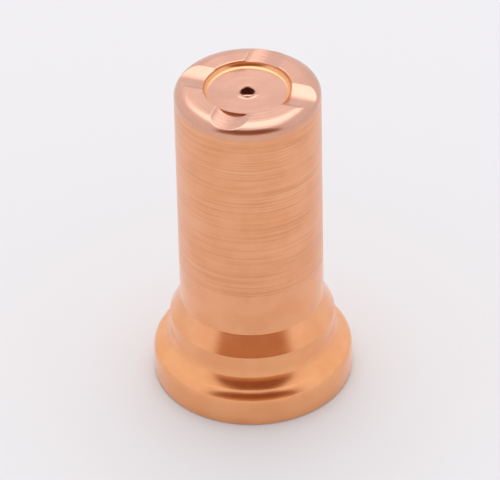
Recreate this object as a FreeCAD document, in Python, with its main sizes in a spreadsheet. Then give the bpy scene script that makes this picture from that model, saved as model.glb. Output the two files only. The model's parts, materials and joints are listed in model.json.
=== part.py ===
import FreeCAD, Part
import math
import os
import Sketcher

# Long contact-cutting nozzle for an air plasma torch, turned from one copper bar.
# It stands on its rear flange with the torch axis on +Z, so the tip is at the top.
# Every size is in millimetres, or degrees for an angle, and sits in the sheet
# under its own name. The outside is a stack of lengths and radial steps.

SIZES = {
    "barrel_diameter": 9.5,
    "barrel_length": 16.6,
    "taper_length": 1.4,
    "shoulder_step": 0.7,
    "shoulder_length": 2.25,
    "shoulder_fillet_radius": 0.5,
    "flange_step": 1.15,
    "flange_height": 2.45,
    "flange_crown_radius": 0.5,
    "base_edge_break": 0.12,
    "tip_crown_radius": 1.33,
    "tip_crown_angle": 30.0,
    "tip_corner_radius": 0.55,
    "rim_width": 1.88,
    "recess_depth": 0.39,
    "recess_edge_break": 0.06,
    "vent_width": 2.42,
    "vent_depth": 0.26,
    "vent_count": 4,
    "orifice_diameter": 0.95,
    "orifice_length": 2.4,
    "orifice_edge_break": 0.06,
    "chamber_diameter": 6.4,
    "chamber_cone_angle": 45.0,
    "seat_diameter": 9.2,
    "seat_depth": 1.8,
    "seat_edge_break": 0.25,
}

# Lengths and radii that follow from the sheet, written as its expressions.
BARREL_RADIUS = "Sizes.barrel_diameter / 2"
FLANGE_RADIUS = "(Sizes.barrel_diameter / 2 + Sizes.shoulder_step + Sizes.flange_step)"
RIM_HEIGHT = "(Sizes.flange_height + Sizes.shoulder_length + Sizes.taper_length + Sizes.barrel_length)"
RECESS_RADIUS = "(Sizes.barrel_diameter / 2 - Sizes.rim_width)"
VENT_RADIUS = "((Sizes.vent_width ^ 2 / 4 + Sizes.vent_depth ^ 2) / (2 * Sizes.vent_depth))"

# The ledge between flange and shoulder carries a rounding and a fillet side by side.
LEDGE_SHARE = "0.45 * Sizes.flange_step"

ROOT = (-1, 1)
START, END, CENTRE = 1, 2, 3


def make_sheet(doc):
    """Write each driving size into the sheet under its own alias."""
    sheet = doc.addObject("Spreadsheet::Sheet", "Sizes")
    for row, (alias, value) in enumerate(SIZES.items(), start=1):
        sheet.set("A%d" % row, alias)
        sheet.set("B%d" % row, str(value))
        sheet.setAlias("B%d" % row, alias)
    doc.recompute()


def origin_feature(body, role):
    """The body's own origin plane or axis with this role."""
    for feature in body.Origin.OriginFeatures:
        if feature.Role == role:
            return feature
    raise RuntimeError("no origin feature " + role)


def new_sketch(body, name, role):
    """An empty sketch on one of the body's origin planes."""
    sketch = body.newObject("Sketcher::SketchObject", name)
    sketch.AttachmentSupport = [(origin_feature(body, role), "")]
    sketch.MapMode = "FlatFace"
    return sketch


def bind(sketch, kind, ends, value, expression):
    """Add one dimension to a sketch and tie it to the sheet."""
    index = sketch.addConstraint(Sketcher.Constraint(kind, *ends, value))
    sketch.setExpression("Constraints[%d]" % index, expression)


def draw_outline(sketch, corners):
    """Close a loop of lines through the corners; each line keeps level or upright."""
    points = [FreeCAD.Vector(x, z, 0) for x, z in corners]
    count = len(points)
    for i, point in enumerate(points):
        following = points[(i + 1) % count]
        sketch.addGeometry(Part.LineSegment(point, following), False)
    for i, point in enumerate(points):
        following = points[(i + 1) % count]
        sketch.addConstraint(Sketcher.Constraint("Coincident", i, END, (i + 1) % count, START))
        if abs(following.y - point.y) < 1e-9:
            sketch.addConstraint(Sketcher.Constraint("Horizontal", i))
        if abs(following.x - point.x) < 1e-9:
            sketch.addConstraint(Sketcher.Constraint("Vertical", i))
    sketch.addConstraint(Sketcher.Constraint("Coincident", 0, START, *ROOT))


def outer_sketch(body):
    """Half section of the outside: flange, shoulder, taper, barrel and rounded tip."""
    s = SIZES
    barrel = s["barrel_diameter"] / 2
    shoulder = barrel + s["shoulder_step"]
    flange = shoulder + s["flange_step"]
    shoulder_top = s["flange_height"] + s["shoulder_length"]
    barrel_start = shoulder_top + s["taper_length"]
    rim = barrel_start + s["barrel_length"]

    slope = math.radians(s["tip_crown_angle"])
    corner_x = barrel - s["tip_corner_radius"]
    meet_x = corner_x + s["tip_corner_radius"] * math.sin(slope)
    crown_x = meet_x - s["tip_crown_radius"] * math.sin(slope)
    crown_z = rim - s["tip_crown_radius"]
    meet_z = crown_z + s["tip_crown_radius"] * math.cos(slope)
    corner_z = meet_z - s["tip_corner_radius"] * math.cos(slope)

    sketch = new_sketch(body, "OuterSection", "XZ_Plane")
    corners = [
        (0, 0),
        (flange, 0),
        (flange, s["flange_height"]),
        (shoulder, s["flange_height"]),
        (shoulder, shoulder_top),
        (barrel, barrel_start),
        (barrel, corner_z),
        (meet_x, meet_z),
        (crown_x, rim),
        (0, rim),
    ]
    points = [FreeCAD.Vector(x, z, 0) for x, z in corners]
    up = FreeCAD.Vector(0, 0, 1)
    corner_circle = Part.Circle(FreeCAD.Vector(corner_x, corner_z, 0), up, s["tip_corner_radius"])
    crown_circle = Part.Circle(FreeCAD.Vector(crown_x, crown_z, 0), up, s["tip_crown_radius"])
    corner_arc = Part.ArcOfCircle(corner_circle, 0, math.pi / 2 - slope)
    crown_arc = Part.ArcOfCircle(crown_circle, math.pi / 2 - slope, math.pi / 2)

    base, wall, ledge, shoulder_wall, taper, side = range(6)
    for i in range(6):
        sketch.addGeometry(Part.LineSegment(points[i], points[i + 1]), False)
    corner = sketch.addGeometry(corner_arc, False)
    crown = sketch.addGeometry(crown_arc, False)
    rim_line = sketch.addGeometry(Part.LineSegment(points[8], points[9]), False)
    axis_line = sketch.addGeometry(Part.LineSegment(points[9], points[0]), False)

    for line in (base, ledge, rim_line):
        sketch.addConstraint(Sketcher.Constraint("Horizontal", line))
    for line in (wall, shoulder_wall, side, axis_line):
        sketch.addConstraint(Sketcher.Constraint("Vertical", line))
    for line in (base, wall, ledge, shoulder_wall, taper):
        sketch.addConstraint(Sketcher.Constraint("Coincident", line, END, line + 1, START))
    sketch.addConstraint(Sketcher.Constraint("Tangent", side, END, corner, START))
    sketch.addConstraint(Sketcher.Constraint("Tangent", corner, END, crown, START))
    sketch.addConstraint(Sketcher.Constraint("Tangent", crown, END, rim_line, START))
    sketch.addConstraint(Sketcher.Constraint("Coincident", rim_line, END, axis_line, START))
    sketch.addConstraint(Sketcher.Constraint("Coincident", axis_line, END, base, START))
    sketch.addConstraint(Sketcher.Constraint("Coincident", base, START, *ROOT))

    bind(sketch, "DistanceY", (wall, START, wall, END), s["flange_height"], "Sizes.flange_height")
    bind(sketch, "DistanceX", (ledge, END, ledge, START), s["flange_step"], "Sizes.flange_step")
    bind(sketch, "DistanceY", (shoulder_wall, START, shoulder_wall, END),
         s["shoulder_length"], "Sizes.shoulder_length")
    bind(sketch, "DistanceX", (taper, END, taper, START), s["shoulder_step"], "Sizes.shoulder_step")
    bind(sketch, "DistanceY", (taper, START, taper, END), s["taper_length"], "Sizes.taper_length")
    bind(sketch, "DistanceX", (*ROOT, side, START), barrel, BARREL_RADIUS)
    bind(sketch, "DistanceY", (side, START, rim_line, START), s["barrel_length"], "Sizes.barrel_length")
    bind(sketch, "Radius", (corner,), s["tip_corner_radius"], "Sizes.tip_corner_radius")
    bind(sketch, "Radius", (crown,), s["tip_crown_radius"], "Sizes.tip_crown_radius")
    bind(sketch, "DistanceX", (crown, CENTRE, crown, START), meet_x - crown_x,
         "Sizes.tip_crown_radius * sin(Sizes.tip_crown_angle)")
    return sketch


def inner_sketch(body):
    """Half section of the inside: swirl ring seat, electrode chamber, cone and orifice."""
    s = SIZES
    seat = s["seat_diameter"] / 2
    chamber = s["chamber_diameter"] / 2
    orifice = s["orifice_diameter"] / 2
    rim = s["flange_height"] + s["shoulder_length"] + s["taper_length"] + s["barrel_length"]
    throat = rim - s["recess_depth"] - s["orifice_length"]
    cone_length = (chamber - orifice) / math.tan(math.radians(s["chamber_cone_angle"]))

    sketch = new_sketch(body, "InnerSection", "XZ_Plane")
    draw_outline(sketch, [
        (0, 0),
        (seat, 0),
        (seat, s["seat_depth"]),
        (chamber, s["seat_depth"]),
        (chamber, throat - cone_length),
        (orifice, throat),
        (orifice, rim),
        (0, rim),
    ])
    mouth, seat_wall, seat_floor, chamber_wall, cone, bore_wall = range(6)
    bind(sketch, "DistanceX", (mouth, START, mouth, END), seat, "Sizes.seat_diameter / 2")
    bind(sketch, "DistanceY", (seat_wall, START, seat_wall, END), s["seat_depth"], "Sizes.seat_depth")
    bind(sketch, "DistanceX", (*ROOT, seat_floor, END), chamber, "Sizes.chamber_diameter / 2")
    bind(sketch, "DistanceX", (*ROOT, cone, END), orifice, "Sizes.orifice_diameter / 2")
    bind(sketch, "DistanceY", (cone, START, cone, END), cone_length,
         "(Sizes.chamber_diameter - Sizes.orifice_diameter) / 2 / tan(Sizes.chamber_cone_angle)")
    bind(sketch, "DistanceY", (bore_wall, START, bore_wall, END), rim - throat,
         "Sizes.recess_depth + Sizes.orifice_length")
    bind(sketch, "DistanceY", (*ROOT, bore_wall, END), rim, RIM_HEIGHT)
    return sketch


def recess_sketch(body):
    """Circle of the round recess, level with the rim of the tip."""
    s = SIZES
    radius = s["barrel_diameter"] / 2 - s["rim_width"]
    sketch = new_sketch(body, "RecessOutline", "XY_Plane")
    sketch.setExpression("AttachmentOffset.Base.z", RIM_HEIGHT)
    circle = Part.Circle(FreeCAD.Vector(0, 0, 0), FreeCAD.Vector(0, 0, 1), radius)
    ring = sketch.addGeometry(circle, False)
    sketch.addConstraint(Sketcher.Constraint("Coincident", ring, CENTRE, *ROOT))
    bind(sketch, "Radius", (ring,), radius, RECESS_RADIUS)
    return sketch


def vent_sketch(body):
    """End view of one vent slot: a large circle that dips just below the rim."""
    s = SIZES
    rim = s["flange_height"] + s["shoulder_length"] + s["taper_length"] + s["barrel_length"]
    radius = (s["vent_width"] ** 2 / 4 + s["vent_depth"] ** 2) / (2 * s["vent_depth"])
    height = rim - s["vent_depth"] + radius
    sketch = new_sketch(body, "VentSection", "XZ_Plane")
    circle = Part.Circle(FreeCAD.Vector(0, height, 0), FreeCAD.Vector(0, 0, 1), radius)
    ring = sketch.addGeometry(circle, False)
    sketch.addConstraint(Sketcher.Constraint("PointOnObject", ring, CENTRE, -2))
    bind(sketch, "Radius", (ring,), radius, VENT_RADIUS)
    bind(sketch, "DistanceY", (*ROOT, ring, CENTRE), height,
         RIM_HEIGHT + " - Sizes.vent_depth + " + VENT_RADIUS)
    return sketch


def ring_edge(feature, radius, height):
    """Name of the full circular edge about +Z with this radius and height."""
    for index, edge in enumerate(feature.Shape.Edges, start=1):
        if not isinstance(edge.Curve, Part.Circle) or not edge.isClosed():
            continue
        same_height = abs(edge.Curve.Center.z - height) < 1e-4
        if same_height and abs(edge.Curve.Radius - radius) < 1e-4:
            return "Edge%d" % index
    raise RuntimeError("no ring edge of radius %.3f at %.3f" % (radius, height))


def dress_ring(body, kind, name, radius, height, size_property, expression):
    """Round or chamfer one circular edge of the body's present tip."""
    previous = body.Tip
    edge = ring_edge(previous, radius, height)
    feature = body.newObject("PartDesign::" + kind, name)
    feature.Base = (previous, [edge])
    feature.setExpression(size_property, expression)
    body.Document.recompute()
    return feature


def check_cut(feature, previous):
    """Stop if a cut took nothing away."""
    if feature.Shape.Volume >= previous.Shape.Volume - 1e-6:
        raise RuntimeError(feature.Name + " removed no material")


def make_nozzle(doc):
    """The whole nozzle: one turned copper piece with milled vent slots."""
    s = SIZES
    body = doc.addObject("PartDesign::Body", "Nozzle")
    body.Label = "nozzle"
    shoulder = s["barrel_diameter"] / 2 + s["shoulder_step"]
    flange = shoulder + s["flange_step"]
    rim = s["flange_height"] + s["shoulder_length"] + s["taper_length"] + s["barrel_length"]

    # Outside, turned about the torch axis.
    outside = body.newObject("PartDesign::Revolution", "Outside")
    outside.Profile = outer_sketch(body)
    outside.ReferenceAxis = (outside.Profile[0], ["V_Axis"])
    outside.Angle = 360
    doc.recompute()

    # Rounded flange crown beside the fillet that runs up into the shoulder.
    dress_ring(body, "Fillet", "FlangeCrown", flange, s["flange_height"],
               "Radius", "min(Sizes.flange_crown_radius; %s)" % LEDGE_SHARE)
    dress_ring(body, "Fillet", "ShoulderFillet", shoulder, s["flange_height"],
               "Radius", "min(Sizes.shoulder_fillet_radius; %s)" % LEDGE_SHARE)
    before_bore = dress_ring(body, "Chamfer", "BaseEdge", flange, 0,
                             "Size", "Sizes.base_edge_break")

    # Inside, bored from the rear through to the orifice.
    inside = body.newObject("PartDesign::Groove", "Inside")
    inside.Profile = inner_sketch(body)
    inside.ReferenceAxis = (inside.Profile[0], ["V_Axis"])
    inside.Angle = 360
    doc.recompute()
    check_cut(inside, before_bore)
    before_recess = dress_ring(body, "Chamfer", "SeatMouth", s["seat_diameter"] / 2, 0,
                               "Size", "Sizes.seat_edge_break")

    # Recess in the tip, with its own mouth and the orifice's mouth broken.
    recess = body.newObject("PartDesign::Pocket", "Recess")
    recess.Profile = recess_sketch(body)
    recess.setExpression("Length", "Sizes.recess_depth")
    doc.recompute()
    check_cut(recess, before_recess)
    dress_ring(body, "Chamfer", "OrificeMouth", s["orifice_diameter"] / 2,
               rim - s["recess_depth"], "Size", "Sizes.orifice_edge_break")
    before_vents = dress_ring(body, "Chamfer", "RecessMouth",
                              s["barrel_diameter"] / 2 - s["rim_width"], rim,
                              "Size", "Sizes.recess_edge_break")

    # One vent slot milled from the axis outwards, repeated round the tip.
    vent = body.newObject("PartDesign::Pocket", "Vent")
    vent.Profile = vent_sketch(body)
    vent.setExpression("Length", "Sizes.barrel_diameter")
    doc.recompute()
    check_cut(vent, before_vents)
    vents = body.newObject("PartDesign::PolarPattern", "Vents")
    vents.Originals = [vent]
    vents.Axis = (origin_feature(body, "Z_Axis"), [""])
    vents.Angle = 360
    vents.setExpression("Occurrences", "Sizes.vent_count")
    body.Tip = vents
    doc.recompute()
    check_cut(vents, vent)
    return body


def check_model(doc, body):
    """Stop before writing if any object failed or the solid is not sound."""
    for item in doc.Objects:
        if "Invalid" in item.State or "Error" in item.State:
            raise RuntimeError(item.Name + " failed: " + str(item.State))
    shape = body.Shape
    if shape.isNull() or not shape.isValid() or len(shape.Solids) != 1:
        raise RuntimeError(body.Label + " is not one sound solid")


def main():
    doc = FreeCAD.newDocument("PlasmaNozzle")
    make_sheet(doc)
    body = make_nozzle(doc)
    check_model(doc, body)
    os.makedirs("parts", exist_ok=True)
    body.Shape.exportStep("parts/" + body.Label + ".step")
    box = body.Shape.optimalBoundingBox()
    print("%s %.3f x %.3f x %.3f mm, %.2f mm3" % (
        body.Label, box.XLength, box.YLength, box.ZLength, body.Shape.Volume))


main()
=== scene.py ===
import json
import math
import bmesh
import bpy
from mathutils import Matrix, Vector


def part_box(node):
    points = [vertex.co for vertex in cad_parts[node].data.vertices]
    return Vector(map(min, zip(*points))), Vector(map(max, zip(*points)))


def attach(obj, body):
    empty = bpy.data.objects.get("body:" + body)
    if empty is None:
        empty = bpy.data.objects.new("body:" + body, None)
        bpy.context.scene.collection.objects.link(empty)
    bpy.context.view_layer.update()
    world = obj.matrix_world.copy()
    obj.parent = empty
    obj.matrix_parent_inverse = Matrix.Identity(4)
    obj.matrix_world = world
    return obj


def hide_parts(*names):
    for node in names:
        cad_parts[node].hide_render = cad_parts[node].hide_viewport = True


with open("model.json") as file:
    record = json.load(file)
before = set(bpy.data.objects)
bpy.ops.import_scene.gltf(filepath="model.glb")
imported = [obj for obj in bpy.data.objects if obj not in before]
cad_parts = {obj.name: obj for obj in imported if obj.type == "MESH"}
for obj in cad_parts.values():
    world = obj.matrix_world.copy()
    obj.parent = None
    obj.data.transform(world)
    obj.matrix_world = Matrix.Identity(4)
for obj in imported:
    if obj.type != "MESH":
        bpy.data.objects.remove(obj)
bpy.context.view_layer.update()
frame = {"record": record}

# ---------------------------------------------------------------- sizes
# Lengths are in millimetres up to the point where a mesh is made.

MM = 0.001

MOUNTS = {mount["name"]: mount for mount in frame["record"]["mounts"]}
LOW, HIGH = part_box("nozzle")

BARREL_R = MOUNTS["barrel"]["dims"]["r_mm"]
FLANGE_R = MOUNTS["flange_rim"]["dims"]["r_mm"]
SEAT_R = MOUNTS["swirl_ring_seat"]["dims"]["r_mm"]
CHAMBER_R = MOUNTS["electrode_bore"]["dims"]["r_mm"]
RIM = (HIGH[2] - LOW[2]) / MM

# Foot: straight flange wall, rounded crown, then a cove that runs up into the shoulder.
SHOULDER_R = 5.45
SHOULDER_TOP = 4.7
TAPER_TOP = 6.1
RIM_TOP = 1.7
RIM_CROWN_R = 0.85
COVE_SLOPE = math.radians(62)
BASE_EDGE = 0.12

# Tip: a small corner arc off the barrel, then the wider crown up to the flat rim.
CROWN_R = 1.33
CORNER_R = 0.55
CROWN_SLOPE = math.radians(30)
CROWN_INSET = 0.045

RECESS_R = 2.87
RECESS_DEPTH = 0.39
RECESS_EDGE = 0.04
RECESS_CORNER = 0.35
VENT_WIDTH = 2.42
VENT_DEPTH = 0.26
VENT_COUNT = 4

ORIFICE_R = 0.475
ORIFICE_EDGE = 0.05
LIP_OUTER = 0.85
LIP_CREST = 0.58
LIP_HEIGHT = 0.13
LIP_FLOOR_BAND = 1e-4
LIP_TURN = math.radians(20)
LIP_SIDE = (math.sin(LIP_TURN), -math.cos(LIP_TURN))
ORIFICE_LENGTH = 2.4
SEAT_DEPTH = 1.8
SEAT_EDGE = 0.25

# An edge break bulges: its middle point stands this share of its size off both faces.
EDGE_BULGE = 0.3
# A run of points ends this far short of the arc beside it.
RUN_GAP = 0.05

AROUND = 512
MERGE_DISTANCE = 1e-5
SHARP_ANGLE = math.radians(24)


# ---------------------------------------------------------------- shader sums

class Socket:
    """One output of a shader node; sums on it add the Math nodes they need."""

    def __init__(self, graph, socket):
        self.graph = graph
        self.socket = socket

    def _math(self, operation, first, second=0.0):
        return self.graph.node("ShaderNodeMath", {"operation": operation}, {0: first, 1: second})

    def __add__(self, other):
        return self._math("ADD", self, other)

    def __radd__(self, other):
        return self._math("ADD", other, self)

    def __sub__(self, other):
        return self._math("SUBTRACT", self, other)

    def __rsub__(self, other):
        return self._math("SUBTRACT", other, self)

    def __mul__(self, other):
        return self._math("MULTIPLY", self, other)

    def __abs__(self):
        return self._math("ABSOLUTE", self)

    def __pow__(self, other):
        return self._math("POWER", self, other)


class Graph:
    """A node tree that is filled through one method."""

    def __init__(self, tree):
        self.tree = tree
        tree.nodes.clear()

    def node(self, kind, settings=None, inputs=None, output=0):
        made = self.tree.nodes.new(kind)
        for name, value in (settings or {}).items():
            setattr(made, name, value)
        for name, value in (inputs or {}).items():
            if isinstance(value, Socket):
                self.tree.links.new(value.socket, made.inputs[name])
            else:
                made.inputs[name].default_value = value
        return Socket(self, made.outputs[output]) if len(made.outputs) else made

    def rise(self, value, low, high):
        """0 below low, 1 above high, smooth between."""
        return self.node("ShaderNodeMapRange", {"interpolation_type": "SMOOTHSTEP"},
                         {"Value": value, "From Min": low, "From Max": high})

    def mix(self, factor, first, second):
        """Colour mix by a factor."""
        return self.node("ShaderNodeMix", {"data_type": "RGBA"},
                         {"Factor": factor, 6: first, 7: second}, output=2)

    def noise(self, vector, scale, detail, roughness):
        """Cloudy noise about 0.5."""
        return self.node("ShaderNodeTexNoise", {"noise_dimensions": "3D"},
                         {"Vector": vector, "Scale": scale, "Detail": detail,
                          "Roughness": roughness}, output="Fac")


# ---------------------------------------------------------------- nozzle mesh

def arc(centre_r, centre_z, radius, start, end, steps):
    """Points along an arc of the half section, angles in degrees from +R."""
    points = []
    for i in range(steps + 1):
        angle = math.radians(start + (end - start) * i / steps)
        points.append((centre_r + radius * math.cos(angle), centre_z + radius * math.sin(angle)))
    return points


def straight(first, last, steps):
    """Points from first up to, but not at, last."""
    return [(first[0] + (last[0] - first[0]) * i / steps,
             first[1] + (last[1] - first[1]) * i / steps) for i in range(steps)]


def half_section():
    """The closed half section of the nozzle, from the rear face up and back inside."""
    slope = CROWN_SLOPE
    corner_r = BARREL_R - CORNER_R
    meet_r = corner_r + CORNER_R * math.sin(slope)
    crown_r = meet_r - CROWN_R * math.sin(slope)
    crown_z = RIM - CROWN_R
    corner_z = crown_z + (CROWN_R - CORNER_R) * math.cos(slope)
    floor_z = RIM - RECESS_DEPTH
    throat_z = floor_z - ORIFICE_LENGTH
    cone_z = throat_z - (CHAMBER_R - ORIFICE_R)

    sweep = (FLANGE_R - SHOULDER_R) / (1 - math.cos(COVE_SLOPE))
    cove_r = sweep - RIM_CROWN_R
    cove_top = RIM_TOP + sweep * math.sin(COVE_SLOPE)

    bulge = EDGE_BULGE * BASE_EDGE
    points = [(FLANGE_R - BASE_EDGE, 0), (FLANGE_R - bulge, bulge)]
    points += straight((FLANGE_R, BASE_EDGE), (FLANGE_R, RIM_TOP), 3)
    points += arc(FLANGE_R - RIM_CROWN_R, RIM_TOP, RIM_CROWN_R, 0, math.degrees(COVE_SLOPE), 14)
    points += arc(SHOULDER_R + cove_r, cove_top, cove_r, 180 + math.degrees(COVE_SLOPE), 180,
                  18)[1:]
    points += straight((SHOULDER_R, cove_top + 2 * RUN_GAP), (SHOULDER_R, SHOULDER_TOP), 3)
    points += straight((SHOULDER_R, SHOULDER_TOP), (BARREL_R, TAPER_TOP), 4)
    points += straight((BARREL_R, TAPER_TOP), (BARREL_R, corner_z), 16)
    points += arc(corner_r, corner_z, CORNER_R, 0, 90 - math.degrees(slope), 14)
    points += arc(crown_r, crown_z, CROWN_R, 90 - math.degrees(slope), 90, 16)[1:]
    points += straight((crown_r - CROWN_INSET, RIM), (RECESS_R + RECESS_EDGE, RIM), 20)
    bulge = EDGE_BULGE * RECESS_EDGE
    points += [(RECESS_R + RECESS_EDGE, RIM), (RECESS_R + bulge, RIM - bulge)]
    points += [(RECESS_R, RIM - RECESS_EDGE)]
    points += arc(RECESS_R - RECESS_CORNER, floor_z + RECESS_CORNER, RECESS_CORNER, 360, 270, 10)
    points += straight((RECESS_R - RECESS_CORNER - RUN_GAP, floor_z), (LIP_OUTER, floor_z), 14)
    points += straight((LIP_OUTER, floor_z), (ORIFICE_R + ORIFICE_EDGE, floor_z), 12)
    points += [(ORIFICE_R + ORIFICE_EDGE, floor_z)]
    points += straight((ORIFICE_R, floor_z - ORIFICE_EDGE), (ORIFICE_R, throat_z), 12)
    points += straight((ORIFICE_R, throat_z), (CHAMBER_R, cone_z), 6)
    points += straight((CHAMBER_R, cone_z), (CHAMBER_R, SEAT_DEPTH), 8)
    points += straight((CHAMBER_R, SEAT_DEPTH), (SEAT_R, SEAT_DEPTH), 3)
    points += [(SEAT_R, SEAT_DEPTH), (SEAT_R, SEAT_EDGE), (SEAT_R + SEAT_EDGE, 0)]
    return points


def vent_surface(x, y):
    """Height of the nearest vent slot's floor over a point of the tip."""
    radius = (VENT_WIDTH ** 2 / 4 + VENT_DEPTH ** 2) / (2 * VENT_DEPTH)
    lowest = math.inf
    for i in range(VENT_COUNT):
        turn = 2 * math.pi * i / VENT_COUNT
        along = x * math.cos(turn) + y * math.sin(turn)
        across = y * math.cos(turn) - x * math.sin(turn)
        if along > 0 and abs(across) < radius:
            lowest = min(lowest, RIM - VENT_DEPTH + radius - math.sqrt(radius ** 2 - across ** 2))
    return lowest


def raise_lip(bm):
    """Metal drawn up round the orifice's mouth, on the side that LIP_SIDE points to."""
    floor_z = RIM - RECESS_DEPTH
    for vert in bm.verts:
        radius = vert.co.xy.length
        if abs(vert.co.z - floor_z) > LIP_FLOOR_BAND or radius > LIP_OUTER:
            continue
        side = max(0.0, (LIP_SIDE[0] * vert.co.x + LIP_SIDE[1] * vert.co.y) / radius)
        if radius < LIP_CREST:
            share = 0.6 + 0.4 * (radius - ORIFICE_R) / (LIP_CREST - ORIFICE_R)
        else:
            share = 0.5 + 0.5 * math.cos(math.pi * (radius - LIP_CREST) / (LIP_OUTER - LIP_CREST))
        vert.co.z += LIP_HEIGHT * side ** 3 * share


def build_nozzle():
    """Spin the half section, then let the vent slots down into the tip."""
    mesh = bpy.data.meshes.new("nozzle_visual")
    bm = bmesh.new()
    ring = [bm.verts.new((r, 0, z)) for r, z in half_section()]
    edges = [bm.edges.new((ring[i], ring[(i + 1) % len(ring)])) for i in range(len(ring))]
    bmesh.ops.spin(bm, geom=ring + edges, cent=(0, 0, 0), axis=(0, 0, 1),
                   angle=2 * math.pi, steps=AROUND, use_merge=True)
    bmesh.ops.remove_doubles(bm, verts=bm.verts, dist=MERGE_DISTANCE)
    for vert in bm.verts:
        if vert.co.z > RIM - VENT_DEPTH and vert.co.xy.length > RECESS_R - 0.001:
            vert.co.z = min(vert.co.z, vent_surface(vert.co.x, vert.co.y))
    raise_lip(bm)
    bmesh.ops.recalc_face_normals(bm, faces=bm.faces)
    bmesh.ops.scale(bm, vec=(MM, MM, MM), verts=bm.verts)
    for face in bm.faces:
        face.smooth = True
    bm.to_mesh(mesh)
    bm.free()
    mesh.set_sharp_from_angle(angle=SHARP_ANGLE)
    piece = bpy.data.objects.new("nozzle_visual", mesh)
    bpy.context.scene.collection.objects.link(piece)
    return piece


# ---------------------------------------------------------------- finishes

# Copper tones of each zone, as lit copies of one copper: painted copper bounce light makes the foot a
# deeper orange and leaves the tip less orange and darker; a soft cloud mixes the two of a pair.
FOOT_PAINTED_BOUNCE_TONES = ((0.90, 0.405, 0.18, 1), (0.94, 0.45, 0.21, 1))
BARREL_TONES = ((0.85, 0.385, 0.195, 1), (0.90, 0.43, 0.23, 1))
TIP_PAINTED_LIGHT_TONES = ((0.69, 0.38, 0.28, 1), (0.74, 0.41, 0.305, 1))
# Painted copper-on-copper bounce light for the recess's corner.
CORNER_PAINTED_BOUNCE_TONES = ((0.86, 0.42, 0.19, 1), (0.90, 0.46, 0.22, 1))
# Painted shade for the ring marks' grooves and painted glints for their ridges.
RING_GROOVE_PAINTED_SHADE = (0.58, 0.235, 0.10, 1)
RING_RIDGE_PAINTED_GLINT = (0.98, 0.62, 0.42, 1)
FLOOR_TONE = (0.78, 0.785, 0.80, 1)
SHEEN_TONE = (1.0, 0.85, 0.80, 1)

# Where one zone gives way to the next: heights, then radii for the recess's corner, which gets
# painted bounce light.
LINES_START = (8.7, 9.6)
LINES_END = (21.7, 22.0)
# The foot's painted bounce light gives way to the barrel's tone between these heights, and that to
# the tip's.
FOOT_TO_BARREL = (3.0, 9.0)
BARREL_TO_TIP = (21.5, 22.3)
CORNER_HEIGHT = (22.0, 22.2)
CORNER_INNER = (2.5, 2.62)
CORNER_OUTER = (2.87, 2.90)

# Noise scales per millimetre, the lean of the rings and the depth of the marks in metres.
LINE_SCALE = 9.0
COARSE_SCALE = 2.2
GRAIN_SCALE = 12.0
CLOUD_SCALE = 0.5
RING_LEAN = 0.012
MARK_DEPTH = 0.00003

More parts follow.
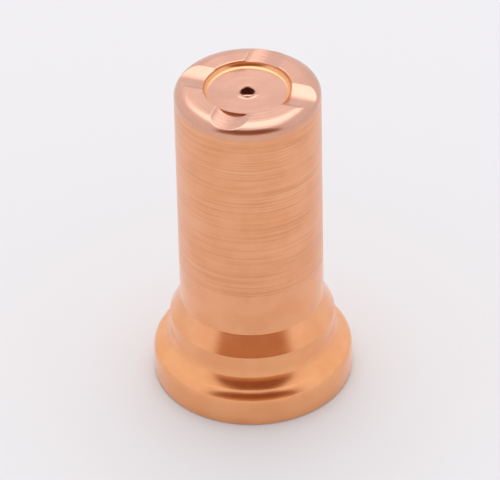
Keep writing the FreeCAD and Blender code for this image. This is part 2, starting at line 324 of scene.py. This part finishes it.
def turned_copper():
    """Bright copper off the lathe: ring marks on walls, facing marks on flats, with painted bounce
    light in the zone tones and painted shade and glints along the rings.
    """
    material = bpy.data.materials.new("turned_copper")
    material.use_nodes = True
    g = Graph(material.node_tree)
    place = g.node("ShaderNodeTexCoord", output="Object")
    place = g.node("ShaderNodeVectorMath", {"operation": "SCALE"}, {0: place, "Scale": 1 / MM})
    x = g.node("ShaderNodeSeparateXYZ", None, {0: place}, output=0)
    y = g.node("ShaderNodeSeparateXYZ", None, {0: place}, output=1)
    z = g.node("ShaderNodeSeparateXYZ", None, {0: place}, output=2)
    r = (x * x + y * y) ** 0.5
    normal = g.node("ShaderNodeNewGeometry", output="Normal")
    facing = g.rise(abs(g.node("ShaderNodeSeparateXYZ", None, {0: normal}, output=2)), 0.6, 0.8)

    # Rings run round the walls; a slight lean along x and y keeps them from looking ruled.
    wall_line = g.node("ShaderNodeCombineXYZ", None, {"X": x * RING_LEAN, "Y": y * RING_LEAN, "Z": z})
    fine = g.noise(wall_line, LINE_SCALE, 3.0, 0.75)
    coarse = g.noise(wall_line, COARSE_SCALE, 2.0, 0.6)
    barrel = g.rise(z, *LINES_START) * (1 - g.rise(z, *LINES_END))
    lines = barrel * 0.85 + 0.15
    wall_marks = (fine * 0.7 + coarse * 0.3) * lines
    face_line = g.node("ShaderNodeCombineXYZ", None, {"X": r, "Y": z * 0.1, "Z": 0.0})
    face_marks = g.noise(face_line, LINE_SCALE, 3.0, 0.6) * 0.35
    marks = g.node("ShaderNodeMix", {"data_type": "FLOAT"},
                   {"Factor": facing, 2: wall_marks, 3: face_marks})
    grain = g.noise(place, GRAIN_SCALE, 3.0, 0.6)
    height = marks + grain * 0.06
    bump = g.node("ShaderNodeBump", None,
                  {"Strength": 1.0, "Distance": MARK_DEPTH, "Height": height})

    cloud = g.noise(place, CLOUD_SCALE, 3.0, 0.55)
    patch = g.rise(cloud, 0.35, 0.65)
    # Painted bounce light: the foot, barrel, tip and corner tones are lit copies of one copper.
    foot_painted_bounce, middle, top, corner_painted_bounce = [g.mix(patch, *tones) for tones in
                                 (FOOT_PAINTED_BOUNCE_TONES, BARREL_TONES, TIP_PAINTED_LIGHT_TONES, CORNER_PAINTED_BOUNCE_TONES)]
    colour = g.mix(g.rise(z, *FOOT_TO_BARREL), foot_painted_bounce, middle)
    colour = g.mix(g.rise(z, *BARREL_TO_TIP), colour, top)
    # Painted copper-on-copper bounce light: the recess's concave corner turns a deeper orange.
    painted_corner_bounce_mask = g.rise(r, *CORNER_INNER) * (1 - g.rise(r, *CORNER_OUTER)) * g.rise(z, *CORNER_HEIGHT)
    colour = g.mix(painted_corner_bounce_mask, colour, corner_painted_bounce)
    # Along the real ring marks, painted shade darkens the grooves and painted glints lighten the
    # ridges, on the walls only.
    painted_groove_shade = (1 - g.rise(fine, 0.30, 0.52)) * lines * (1 - facing) * 0.42
    painted_ridge_glint = g.rise(fine, 0.52, 0.72) * lines * (1 - facing) * 0.30
    colour = g.mix(painted_groove_shade, colour, RING_GROOVE_PAINTED_SHADE)
    colour = g.mix(painted_ridge_glint, colour, RING_RIDGE_PAINTED_GLINT)
    rough = 0.22 + barrel * 0.12 + (fine - 0.5) * 0.16 + (cloud - 0.5) * 0.08
    shader = g.node("ShaderNodeBsdfPrincipled", None,
                    {"Base Color": colour, "Metallic": 1.0, "Roughness": rough, "Normal": bump,
                     "Sheen Weight": 0.4, "Sheen Roughness": 0.4, "Sheen Tint": SHEEN_TONE})
    g.node("ShaderNodeOutputMaterial", None, {"Surface": shader})
    return material


def table_top():
    """Plain pale floor."""
    material = bpy.data.materials.new("table_top")
    material.use_nodes = True
    g = Graph(material.node_tree)
    shader = g.node("ShaderNodeBsdfPrincipled", None,
                    {"Base Color": FLOOR_TONE, "Roughness": 0.7})
    g.node("ShaderNodeOutputMaterial", None, {"Surface": shader})
    return material


# ---------------------------------------------------------------- stage, light and camera

VIEW_TURN = math.radians(20.0)
VIEW_HEIGHT = math.radians(37.36)
VIEW_ROLL = math.radians(1.27)
VIEW_DISTANCE = 0.31875
VIEW_LENS = 349.4
AIM = (-0.049 * MM, 10.0 * MM, 0.243 * MM)

# The surround: its pale tone, and the dim side's tones low and high up.
PALE_TONE = (0.93, 0.91, 0.925, 1)
DIM_TONES = ((0.50, 0.27, 0.15, 1), (0.27, 0.105, 0.045, 1))
DIM_CHANGE = (0.25, 0.5)
# The dim side fades out at these angles off the front, and at these sines of elevation.
DIM_SIDES = (math.radians(42), math.radians(56))
DIM_BOTTOM = (0.0, 0.08)
DIM_TOP = (0.93, 0.985)

# Metres. The floor lies a hair below the rear face, so that the two never coincide.
FLOOR_GAP = 0.00002
FLOOR_HALF = 3.0
LAMP_AIM = 0.01

RIGHT = Vector((math.cos(VIEW_TURN), math.sin(VIEW_TURN), 0))
FRONT = Vector((math.sin(VIEW_TURN), -math.cos(VIEW_TURN), 0))
UP = Vector((0, 0, 1))


def set_world():
    """Pale surround with a dim side in front, which only glossy reflections see."""
    world = bpy.data.worlds.new("studio")
    bpy.context.scene.world = world
    world.use_nodes = True
    g = Graph(world.node_tree)
    ray = g.node("ShaderNodeTexCoord", output="Generated")
    side, front, rise = [g.node("ShaderNodeVectorMath", {"operation": "DOT_PRODUCT"},
                                {0: ray, 1: axis}, output=1) for axis in (RIGHT, FRONT, UP)]
    azimuth = abs(g.node("ShaderNodeMath", {"operation": "ARCTAN2"}, {0: side, 1: front}))
    dim = 1 - g.rise(azimuth, *DIM_SIDES)
    dim = dim * g.rise(rise, *DIM_BOTTOM) * (1 - g.rise(rise, *DIM_TOP))
    dim = dim * g.node("ShaderNodeLightPath", output="Is Glossy Ray")
    shade = g.mix(g.rise(rise, *DIM_CHANGE), *DIM_TONES)
    colour = g.mix(dim, PALE_TONE, shade)
    surround = g.node("ShaderNodeBackground", None, {"Color": colour, "Strength": 1.0})
    g.node("ShaderNodeOutputWorld", None, {"Surface": surround})


def add_floor():
    """A wide plain floor under the rear face."""
    mesh = bpy.data.meshes.new("floor")
    bm = bmesh.new()
    bmesh.ops.create_grid(bm, x_segments=1, y_segments=1, size=FLOOR_HALF)
    bmesh.ops.translate(bm, vec=(0, 0, LOW[2] - FLOOR_GAP), verts=bm.verts)
    bm.to_mesh(mesh)
    bm.free()
    floor = bpy.data.objects.new("floor", mesh)
    bpy.context.scene.collection.objects.link(floor)
    floor.data.materials.append(table_top())


def add_lamp(name, place, size, power):
    """A square soft lamp that faces the nozzle; place is right, front and up in metres."""
    data = bpy.data.lights.new(name, "AREA")
    data.shape = "SQUARE"
    data.size = size
    data.energy = power
    lamp = bpy.data.objects.new(name, data)
    position = RIGHT * place[0] + FRONT * place[1] + UP * place[2]
    target = Vector((0, 0, LAMP_AIM))
    aim = (target - position).to_track_quat("-Z", "Y").to_matrix().to_4x4()
    lamp.matrix_world = Matrix.Translation(position) @ aim
    bpy.context.scene.collection.objects.link(lamp)


def add_camera():
    """The fitted camera: turned, raised and rolled, aimed near the barrel's middle."""
    data = bpy.data.cameras.new("camera")
    data.lens = VIEW_LENS
    data.sensor_width = 36.0
    data.clip_start = 0.01
    camera = bpy.data.objects.new("camera", data)
    back = FRONT * math.cos(VIEW_HEIGHT) + UP * math.sin(VIEW_HEIGHT)
    top = UP * math.cos(VIEW_HEIGHT) - FRONT * math.sin(VIEW_HEIGHT)
    target = RIGHT * AIM[0] + UP * AIM[1] + top * AIM[2]
    position = target + back * VIEW_DISTANCE
    screen_up = top * math.cos(VIEW_ROLL) + RIGHT * math.sin(VIEW_ROLL)
    screen_right = screen_up.cross(back)
    turn = Matrix((screen_right, screen_up, back)).transposed().to_4x4()
    camera.matrix_world = Matrix.Translation(position) @ turn
    bpy.context.scene.collection.objects.link(camera)
    bpy.context.scene.camera = camera


# ---------------------------------------------------------------- build

bpy.context.scene.view_settings.view_transform = "Standard"

nozzle = build_nozzle()
nozzle.data.materials.append(turned_copper())
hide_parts("nozzle")
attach(nozzle, "root")

set_world()
add_floor()
add_lamp("top_lamp", place=(0.0, -0.25, 0.55), size=0.5, power=0.88)
add_camera()
